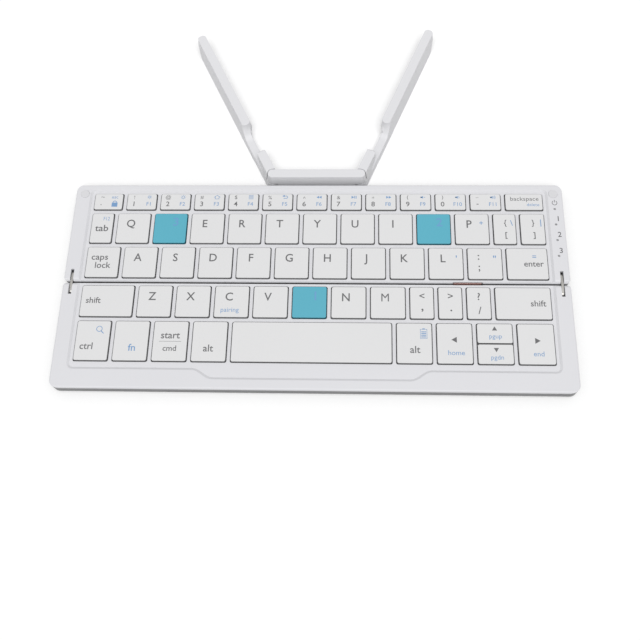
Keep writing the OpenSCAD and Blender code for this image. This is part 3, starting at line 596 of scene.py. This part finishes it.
pictures = ["sunLow", "sunHigh", "house", "menu", "back", "rewind", "playPause", "forward", "mute", "quieter",
            "louder"]
digits = list(zip("!@#$%^&*()", "1234567890")) + [("_", "-")]
legends = dict(
    keys_number_row=[[word("~", 2.4, 0.28, 0.79), word("`", 2.6, 0.24, 0.30),
                      word("esc", 1.8, 0.71, 0.80, "inkBlue"), icon("lock", 0.72, 0.38, size=1.5)]]
                    + [numberKey(a, b, "F%d" % (i + 1), pictures[i]) for i, (a, b) in enumerate(digits)],
    key_backspace=[[word("backspace", 2.2, 0.52, 0.70, wide=1.1),
                    word("delete", 1.6, 0.74, 0.33, "inkBlue", 1.1)]],
    key_tab=[[word("F12", 2.0, 0.68, 0.82, "inkBlue", 0.8), word("tab", 3.5, 0.50, 0.50, wide=1.06)]],
    key_q=[letter("Q")],
    key_channel_3=[[word("3", 4.4, 0.66, 0.72, "inkNumber", 1.1)]],
    keys_e_to_i=[letter(c) for c in "ERTYUI"],
    key_channel_2=[[word("2", 4.4, 0.67, 0.72, "inkNumber", 1.1)]],
    key_p=[letter("P") + [word("+", 2.6, 0.78, 0.70, "inkBlue")]],
    key_left_bracket=[[word("{", 2.8, 0.54, 0.69), word("\\", 2.9, 0.82, 0.70, "inkBlue"),
                       word("[", 2.8, 0.56, 0.28)]],
    key_right_bracket=[[word("}", 2.8, 0.53, 0.69), word("|", 2.9, 0.85, 0.70, "inkBlue"),
                        word("]", 2.8, 0.55, 0.28)]],
    key_caps_lock=[[word("caps", 3.2, 0.40, 0.67, wide=1.06), word("lock", 3.2, 0.52, 0.40)]],
    keys_a_to_l=[letter(c) for c in "ASDFGHJK"] + [letter("L") + [word("'", 3.4, 0.81, 0.72, "inkBlue")]],
    key_semicolon=[[word(":", 3.8, 0.32, 0.70), word(";", 3.8, 0.33, 0.33),
                    word('"', 3.4, 0.79, 0.72, "inkBlue")]],
    key_enter=[[word("=", 2.6, 0.68, 0.73, "inkBlue"), word("enter", 3.0, 0.66, 0.50)]],
    key_left_shift=[[word("shift", 3.0, 0.24, 0.52)]],
    key_z=[letter("Z")],
    key_x=[letter("X")],
    key_c=[letter("C") + [word("pairing", 2.3, 0.46, 0.24, "inkBlue")]],
    key_v=[letter("V")],
    key_channel_1=[[word("1", 4.4, 0.67, 0.70, "inkNumber", 1.1)]],
    key_n=[letter("N")],
    key_m=[letter("M")],
    key_comma=[[word("<", 3.4, 0.51, 0.72), word(",", 4.4, 0.52, 0.26)]],
    key_period=[[word(">", 3.4, 0.51, 0.72), word(".", 4.4, 0.53, 0.26)]],
    key_slash=[[word("?", 3.6, 0.51, 0.71), word("/", 3.6, 0.53, 0.27)]],
    key_right_shift=[[word("shift", 3.0, 0.77, 0.50)]],
    key_ctrl=[[word("ctrl", 3.3, 0.34, 0.36), icon("magnifier", 0.70, 0.77, size=1.3)]],
    key_fn=[[word("fn", 3.4, 0.54, 0.33, "inkBlue")]],
    key_start=[[word("start", 3.4, 0.50, 0.65), icon("rule", 0.50, 0.49, "inkGrey"),
                word("cmd", 2.7, 0.50, 0.32)]],
    key_left_alt=[[word("alt", 3.4, 0.48, 0.33)]],
    key_space=[[]],
    key_right_alt=[[word("alt", 3.4, 0.52, 0.34), icon("battery", 0.77, 0.74)]],
    key_left=[[icon("arrowLeft", 0.51, 0.59, "inkGrey", 1.1), word("home", 2.4, 0.54, 0.27, "inkBlue")]],
    key_up=[[icon("arrowUp", 0.50, 0.72, "inkGrey", 0.9), word("pgup", 2.2, 0.52, 0.36, "inkBlue")]],
    key_down=[[icon("arrowDown", 0.52, 0.74, "inkGrey", 0.9), word("pgdn", 2.2, 0.54, 0.34, "inkBlue")]],
    key_right=[[icon("arrowRight", 0.52, 0.58, "inkGrey", 1.1), word("end", 2.4, 0.55, 0.26, "inkBlue")]],
)
inkSet = dict(thick=0.014, lift=0.3, weight=0.01, boldFrom=2.6, merge=0.0005)


# the strokes of the icons are flat shapes, one layer of ink high; settle turns one and puts it in its place
def settle(bm, verts, x, y, turn):
    bmesh.ops.rotate(bm, matrix=Matrix.Rotation(math.radians(turn), 3, "Z"), verts=verts)
    bmesh.ops.translate(bm, vec=(x * mm, y * mm, 0), verts=verts)


def bar(bm, x, y, width, height, turn=0):
    made = bmesh.ops.create_cube(bm, size=1)["verts"]
    bmesh.ops.scale(bm, vec=(width * mm, height * mm, inkSet["thick"] * mm), verts=made)
    settle(bm, made, x, y, turn)


def disc(bm, x, y, radius, sides, turn):
    made = bmesh.ops.create_cone(bm, cap_ends=True, segments=sides, radius1=radius * mm, radius2=radius * mm,
                                 depth=inkSet["thick"] * mm)["verts"]
    settle(bm, made, x, y, turn)


def arc(bm, x, y, radius, width, start=0, sweep=360, steps=20):
    before = set(bm.verts)
    verts = bmesh.ops.create_grid(bm, x_segments=1, y_segments=1, size=0.5)["verts"]
    bmesh.ops.scale(bm, vec=(width * mm, inkSet["thick"] * mm, 1), verts=verts)
    bmesh.ops.rotate(bm, matrix=Matrix.Rotation(math.pi / 2, 3, "X"), verts=verts)
    bmesh.ops.translate(bm, vec=(radius * mm, 0, 0), verts=verts)
    bmesh.ops.rotate(bm, matrix=Matrix.Rotation(math.radians(start), 3, "Z"), verts=verts)
    faces = list({f for v in verts for f in v.link_faces})
    edges = list({e for f in faces for e in f.edges})
    bmesh.ops.spin(bm, geom=verts + edges + faces, cent=(0, 0, 0), axis=(0, 0, 1), angle=math.radians(sweep),
                   steps=steps, use_merge=sweep == 360, use_normal_flip=False)
    bmesh.ops.translate(bm, vec=(x * mm, y * mm, 0), verts=[v for v in bm.verts if v not in before])


def sun(radius, ray=0.38):
    spots = [(i * 45, math.cos(i * math.pi / 4), math.sin(i * math.pi / 4)) for i in range(8)]
    rays = [(bar, (radius + ray) * x, (radius + ray) * y, 0.26, 0.15, turn) for turn, x, y in spots]
    return [(arc, 0, 0, radius, 0.2)] + rays


def speaker(waves):
    horn = [(bar, -0.75, 0, 0.5, 0.55), (disc, -0.35, 0, 0.7, 3, 90)]
    return horn + [(arc, -0.2, 0, 0.7 + i * 0.45, 0.2, -40, 80, 8) for i in range(waves)]


# each stroke is a shape, its place in mm and its own sizes
icons = dict(
    sunLow=sun(0.42),
    sunHigh=sun(0.55),
    house=[(bar, -0.62, 0.38, 1.55, 0.2, 38), (bar, -0.75, -0.35, 0.2, 0.9),
           (bar, 0.62, 0.38, 1.55, 0.2, -38), (bar, 0.75, -0.35, 0.2, 0.9), (bar, 0, -0.8, 1.7, 0.2)],
    menu=[(bar, 0, 0.75 - i * 0.5, 1.9, 0.2) for i in range(4)],
    back=[(arc, 0.45, 0, 0.52, 0.24, -90, 180, 12), (bar, -0.1, -0.52, 1.1, 0.24),
          (bar, 0.1, 0.52, 0.8, 0.24), (disc, -0.55, 0.52, 0.6, 3, 90)],
    rewind=[(disc, x, 0, 0.68, 3, 90) for x in (-0.5, 0.5)],
    forward=[(disc, x, 0, 0.68, 3, -90) for x in (-0.5, 0.5)],
    playPause=[(disc, -0.55, 0, 0.72, 3, -90), (bar, 0.35, 0, 0.28, 1.2), (bar, 0.9, 0, 0.28, 1.2)],
    mute=speaker(0) + [(bar, 0.55, 0, 0.5, 0.2)],
    quieter=speaker(1),
    louder=speaker(2),
    lock=[(bar, 0, -0.45, 2.0, 1.6), (arc, 0, 0.35, 0.62, 0.28, 0, 180, 12)],
    magnifier=[(arc, -0.35, 0.35, 1.05, 0.24), (bar, 0.9, -0.95, 1.5, 0.3, -45)],
    rule=[(bar, 0, 0, 10.8, 0.16)],
    battery=[(bar, -1.55, -0.2, 0.2, 4.6), (bar, 0, -2.5, 3.3, 0.2), (bar, 1.55, -0.2, 0.2, 4.6),
             (bar, 0, 2.1, 3.3, 0.2), (bar, 0, 2.35, 1.2, 0.4)]
            + [(bar, 0, -1.75 + i * 0.85, 2.3, 0.45) for i in range(4)],
    arrowUp=[(disc, 0, 0, 1.55, 3, 0)],
    arrowDown=[(disc, 0, 0, 1.55, 3, 180)],
    arrowLeft=[(disc, 0, 0, 1.55, 3, 90)],
    arrowRight=[(disc, 0, 0, 1.55, 3, -90)],
    power=[(arc, 0, 0, 1.05, 0.26, 120, 300), (bar, 0, 0.85, 0.26, 1.25)],
)
signs = "~`!@#$%^&*()-_+=:;'\"{}[]<>?/\\|.,"


def textMesh(text, weight):
    curve = bpy.data.curves.new("lettering", "FONT")
    curve.body = text
    curve.size = 1.0
    curve.extrude = 0.5
    curve.offset = weight
    curve.resolution_u = 3
    curve.align_x = "CENTER"
    holder = addObject("lettering", curve)
    bpy.context.view_layer.update()
    mesh = bpy.data.meshes.new_from_object(holder.evaluated_get(bpy.context.evaluated_depsgraph_get()))
    bpy.data.objects.remove(holder)
    bpy.data.curves.remove(curve)
    return mesh


capitalHeight = max(v.co.y for v in textMesh("H", 0).vertices)


# a word is centred on its middle, at half the height of a capital, and a sign at half its own height
def addWord(bm, s, x, y, z):
    bold = s["size"] >= inkSet["boldFrom"] and s["text"] != "M"  # an M stays thin
    mesh = textMesh(s["text"], inkSet["weight"] if bold else 0)
    scale = s["size"] / capitalHeight * mm
    before = set(bm.verts)
    bm.from_mesh(mesh)
    bpy.data.meshes.remove(mesh)
    made = [v for v in bm.verts if v not in before]
    xs = [v.co.x for v in made]
    ys = [v.co.y for v in made]
    middle = (max(ys) + min(ys)) / 2 if s["text"] in signs else capitalHeight / 2
    bmesh.ops.translate(bm, vec=(-(max(xs) + min(xs)) / 2, -middle, 0), verts=made)
    bmesh.ops.scale(bm, vec=(scale * s["wide"], scale, inkSet["thick"] * mm), verts=made)
    bmesh.ops.remove_doubles(bm, verts=made, dist=inkSet["merge"] * mm)
    made = [v for v in bm.verts if v not in before]
    bmesh.ops.translate(bm, vec=(x, y, z), verts=made)


def addIcon(bm, s, x, y, z):
    part = bmesh.new()
    for stroke, *values in icons[s["icon"]]:
        stroke(part, *values)
    bmesh.ops.scale(part, vec=(s["size"], s["size"], 1), verts=part.verts)
    bmesh.ops.remove_doubles(part, verts=part.verts, dist=inkSet["merge"] * mm)
    bmesh.ops.recalc_face_normals(part, faces=part.faces)
    bmesh.ops.translate(part, vec=(x, y, z), verts=part.verts)
    addPart(bm, part)


def addLegend(bm, s, x, y, z, inks):
    before = set(bm.faces)
    if "icon" in s:
        addIcon(bm, s, x, y, z)
    else:
        addWord(bm, s, x, y, z)
    for f in bm.faces:
        if f not in before:
            f.material_index = inks.index(s["ink"])


def capitalised(words):
    return "".join(w.capitalize() for w in words)


keyNodes = sorted(n for n in frame["nodes"] if n.startswith("key"))
for node in keyNodes:
    words = node.split("_")
    name = words[0] + capitalised(words[1:])
    teal = "channel" in node
    caps = bmesh.new()
    ink = bmesh.new()
    inks = sorted({s["ink"] for row in legends[node] for s in row})
    for (low, high), row in zip(capBoxes(node), legends[node]):
        cap = bmesh.new()
        addCap(cap, low, high, capSet)
        addPart(caps, cap)
        for s in row:
            x = low.x + s["u"] * (high.x - low.x)
            y = low.y + s["v"] * (high.y - low.y)
            addLegend(ink, s, x, y, high.z + inkSet["thick"] * mm * inkSet["lift"], inks)
    # a cap's second material is painted shade on its sides
    newPiece(name, caps, "keyTeal" if teal else "keyWhite", bodyOf[node], [node], flatAngle=50,
             extra=["keyTealSide" if teal else "keySide"])
    if inks:
        newPiece(name + "Legend", ink, inks[0], bodyOf[node], extra=inks[1:])
    else:
        ink.free()
print("keys made:", len(keyNodes))


# marks beside the indicators: y is counted from the fold
markSet = dict(topZ=7.2, lift=0.004, powerX=120.3, powerY=44.3, powerSize=1.15, numberX=121.4,
               numberYs=(35.4, 26.6, 17.8), numberSize=2.7)


def makeMarks(s):
    bm = bmesh.new()
    z = (s["topZ"] + s["lift"]) * mm
    power = icon("power", 0, 0, "inkGrey", s["powerSize"])
    addLegend(bm, power, s["powerX"] * mm, (s["powerY"] + foldPlace) * mm, z, ["inkGrey"])
    for i, y in enumerate(s["numberYs"]):
        number = word(str(i + 1), s["numberSize"], 0, 0)
        addLegend(bm, number, s["numberX"] * mm, (y + foldPlace) * mm, z, ["inkGrey"])
    newPiece("sideMarks", bm, "inkGrey", "rear_half")


makeMarks(markSet)


# rubber domes, one group under each node of keys, on the body that its press joint hangs from; the profile is
# radius and height, from the flange to the crown
domeSet = dict(baseZ=3.6, keep=0.46, steps=16, merge=0.002,
               profile=((3.0, 0.0), (2.95, 0.12), (2.6, 0.2), (2.1, 1.5), (1.75, 2.05), (1.6, 2.25),
                        (1.6, 2.7), (1.5, 2.8), (0.0, 2.8)))
sheetSet = dict(thick=0.2, short=0.2, edge=0.05)


def addDome(bm, x, y, s):
    part = bmesh.new()
    verts = [part.verts.new((r * mm, 0, z * mm)) for r, z in s["profile"]]
    edges = [part.edges.new(pair) for pair in zip(verts, verts[1:])]
    bmesh.ops.spin(part, geom=verts + edges, cent=(0, 0, 0), axis=(0, 0, 1), angle=2 * math.pi,
                   steps=s["steps"], use_merge=True)
    bmesh.ops.remove_doubles(part, verts=part.verts, dist=s["merge"] * mm)
    bmesh.ops.holes_fill(part, edges=[e for e in part.edges if e.is_boundary], sides=0)
    bmesh.ops.recalc_face_normals(part, faces=part.faces)
    bmesh.ops.translate(part, vec=(x, y, s["baseZ"] * mm), verts=part.verts)
    addPart(bm, part)


def makeSheet(half, s):
    low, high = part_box(half + "_dome_sheet")
    bm = bmesh.new()
    made = bmesh.ops.create_cube(bm, size=1)["verts"]
    size = Vector((high.x - low.x, high.y - low.y - s["short"] * mm, s["thick"] * mm))
    middle = ((low.x + high.x) / 2, (low.y + high.y) / 2, low.z + s["thick"] / 2 * mm)
    bmesh.ops.scale(bm, vec=size, verts=made)
    bmesh.ops.translate(bm, vec=middle, verts=made)
    bevelled(bm, s["edge"], 1, copySet)
    newPiece(half + "DomeSheet", bm, "domeRubber", half + "_half", [half + "_dome_sheet"])


for node in keyNodes:
    bm = bmesh.new()
    for low, high in capBoxes(node):
        addDome(bm, (low.x + high.x) / 2, (low.y + high.y) / 2, domeSet)
    press = jointOf[bodyOf[node]]
    domes = newPiece("domes" + capitalised(node.split("_")[1:]), bm, "domeRubber", press["parent"],
                     flatAngle=60)
    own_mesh(domes)
makeSheet("rear", sheetSet)
makeSheet("front", sheetSet)
print("domes made")


# the flat cable across the fold, in two lengths that meet in the middle of its loop: bend gives the turn
# into the loop, and blend stands for a stretch from a half to the links
flexSet = dict(x=75.2, width=13.7, thick=0.15, z=5.45, loopZ=3.15, loopR=0.55, reach=1.6, steps=10,
               bend=((0.3, 0.0), (0.08, 0.08), (0.0, 0.35)), blend=(0.2, 1.1))


def flexLine(s):
    line = [(s["reach"], s["z"])]
    line += [(s["loopR"] + out, s["z"] - down) for out, down in s["bend"]]
    for i in range(s["steps"] + 1):
        a = math.radians(90 * i / s["steps"])
        line.append((s["loopR"] * math.cos(a), s["loopZ"] - s["loopR"] * math.sin(a)))
    return line


def makeFlex(name, side, nodes, s):
    bm = bmesh.new()
    verts = [bm.verts.new((-s["width"] / 2 * mm, side * y * mm, z * mm)) for y, z in flexLine(s)]
    edges = [bm.edges.new(pair) for pair in zip(verts, verts[1:])]
    swept = bmesh.ops.extrude_edge_only(bm, edges=edges)["geom"]
    moved = [v for v in swept if isinstance(v, bmesh.types.BMVert)]
    bmesh.ops.translate(bm, vec=(s["width"] * mm, 0, 0), verts=moved)
    bmesh.ops.recalc_face_normals(bm, faces=bm.faces)
    bmesh.ops.solidify(bm, geom=list(bm.faces), thickness=s["thick"] * mm)
    bmesh.ops.translate(bm, vec=(s["x"] * mm, foldPlace * mm, 0), verts=bm.verts)
    bmesh.ops.recalc_face_normals(bm, faces=bm.faces)
    return newPiece(name, bm, "flexBrown", None, nodes, flatAngle=60)


flexRear = makeFlex("flexRear", 1, ["flex_cable"], flexSet)
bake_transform(flexRear)
flexFront = makeFlex("flexFront", -1, [], flexSet)
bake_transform(flexFront)
print("flat cable made")


# floor, light and background
stageSet = dict(floor=6.0, floorGrey=0.6, worldLight=0.50, sunPower=1.8, sunAngle=50,
                sunFrom=(0.05, -0.35, 1.0))


def makeStage(s):
    bm = bmesh.new()
    bmesh.ops.create_grid(bm, x_segments=2, y_segments=2, size=s["floor"] / 2)
    mesh = bpy.data.meshes.new("floor")
    bm.to_mesh(mesh)
    bm.free()
    addObject("floor", mesh)
    f = newFinish("floorPaper")
    colour = f.mix(f.seen(), (s["floorGrey"],) * 3, (1.0, 1.0, 1.0))
    mesh.materials.append(f.shade(colour=colour, rough=1.0, specular=0.0))
    world = Finish(bpy.data.worlds.new("studio"))
    strength = world.add("MapRange", {}, {"Value": world.seen(), "To Min": s["worldLight"], "To Max": 1.0})
    back = world.add("Background", {}, {"Color": (1, 1, 1), "Strength": strength})
    world.add("OutputWorld", {}, {"Surface": back})
    bpy.context.scene.world = world.owner
    light = bpy.data.lights.new("sun", "SUN")
    light.energy = s["sunPower"]
    light.angle = math.radians(s["sunAngle"])
    addObject("sun", light).rotation_euler = Vector(s["sunFrom"]).to_track_quat("Z", "Y").to_euler()
    bpy.context.scene.view_settings.view_transform = "Standard"


makeStage(stageSet)
print("stage made")
